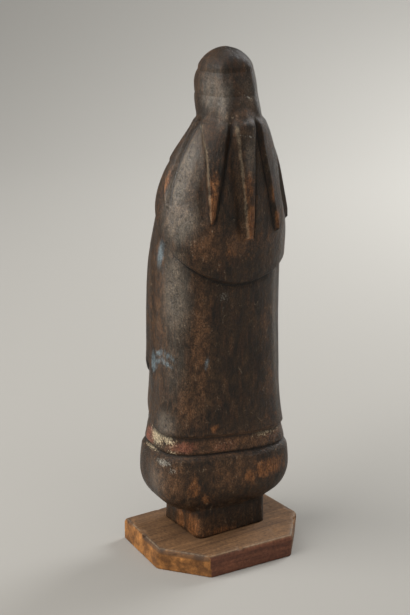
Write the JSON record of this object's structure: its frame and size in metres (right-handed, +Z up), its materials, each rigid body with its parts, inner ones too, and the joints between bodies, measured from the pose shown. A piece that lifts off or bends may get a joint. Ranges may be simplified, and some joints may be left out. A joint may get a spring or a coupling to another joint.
{
  "type": "wooden saint statue",
  "caption": "Carved wooden saint with pointed hair locks, rounded cape, mantle and painted hem band, on a sawn board with cut corners.",
  "frame": {"origin": "centre of the board's box on its underside", "axes": "+Z up, the figure faces -Y, its left hand is towards +X"},
  "size_m": [0.0923, 0.0706, 0.2827],
  "materials": {
    "board_wood": "sawn, bare and worn, grey-brown on top and orange-brown at the cut ends",
    "figure_wood": "dark waxed patina with worn brown lock tips and traces of blue, red and cream paint"
  },
  "bodies": {
    "root": {"base_board": "board_wood", "saint_figure": "figure_wood"}
  },
  "joints": []
}
